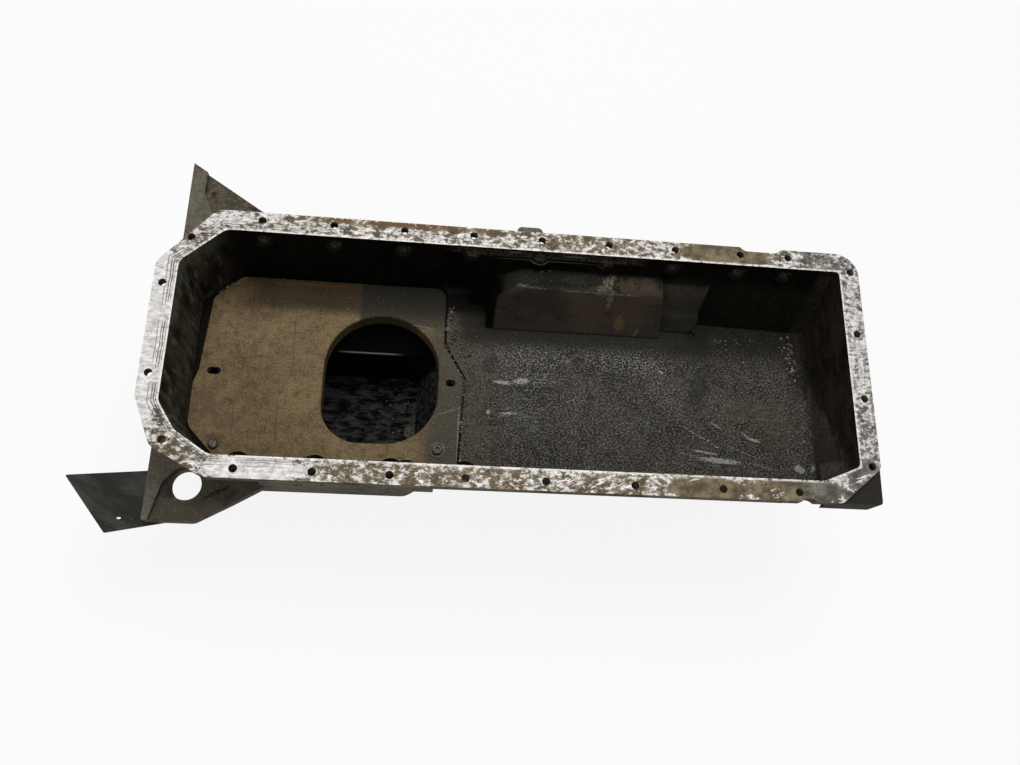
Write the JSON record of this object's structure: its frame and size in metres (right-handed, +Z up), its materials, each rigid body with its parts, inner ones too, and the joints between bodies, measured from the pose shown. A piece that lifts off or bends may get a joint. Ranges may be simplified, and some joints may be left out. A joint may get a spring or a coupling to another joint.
{
  "type": "engine oil pan",
  "caption": "Cast aluminium engine oil pan with a drilled gasket rail, a shallow floor, a deep sump under a steel baffle plate and bell-housing ears.",
  "frame": {"origin": "centre of the rail's outline, in the gasket face", "axes": "+X to the shallow end, +Y to the side with the raised bulge, +Z up out of the opening"},
  "size_m": [0.7179, 0.3618, 0.215],
  "materials": {
    "cast_aluminium": "oily, worn casting with a machined gasket face",
    "baffle_steel": "oil-varnished sheet steel",
    "screw_steel": "oil-varnished",
    "drain_steel": "zinc-plated, dull",
    "washer_aluminium": "soft, crushed",
    "shield_steel": "smooth dark paint"
  },
  "bodies": {
    "root": {"pan_casting": "cast_aluminium", "baffle_plate": "baffle_steel", "baffle_screw_left": "screw_steel", "baffle_washer": "screw_steel", "baffle_screw_right": "screw_steel", "drain_washer": "washer_aluminium", "drain_plug": "drain_steel", "shield_plate": "shield_steel", "shield_bolt_outer": "screw_steel", "shield_bolt_inner": "screw_steel"}
  },
  "joints": []
}
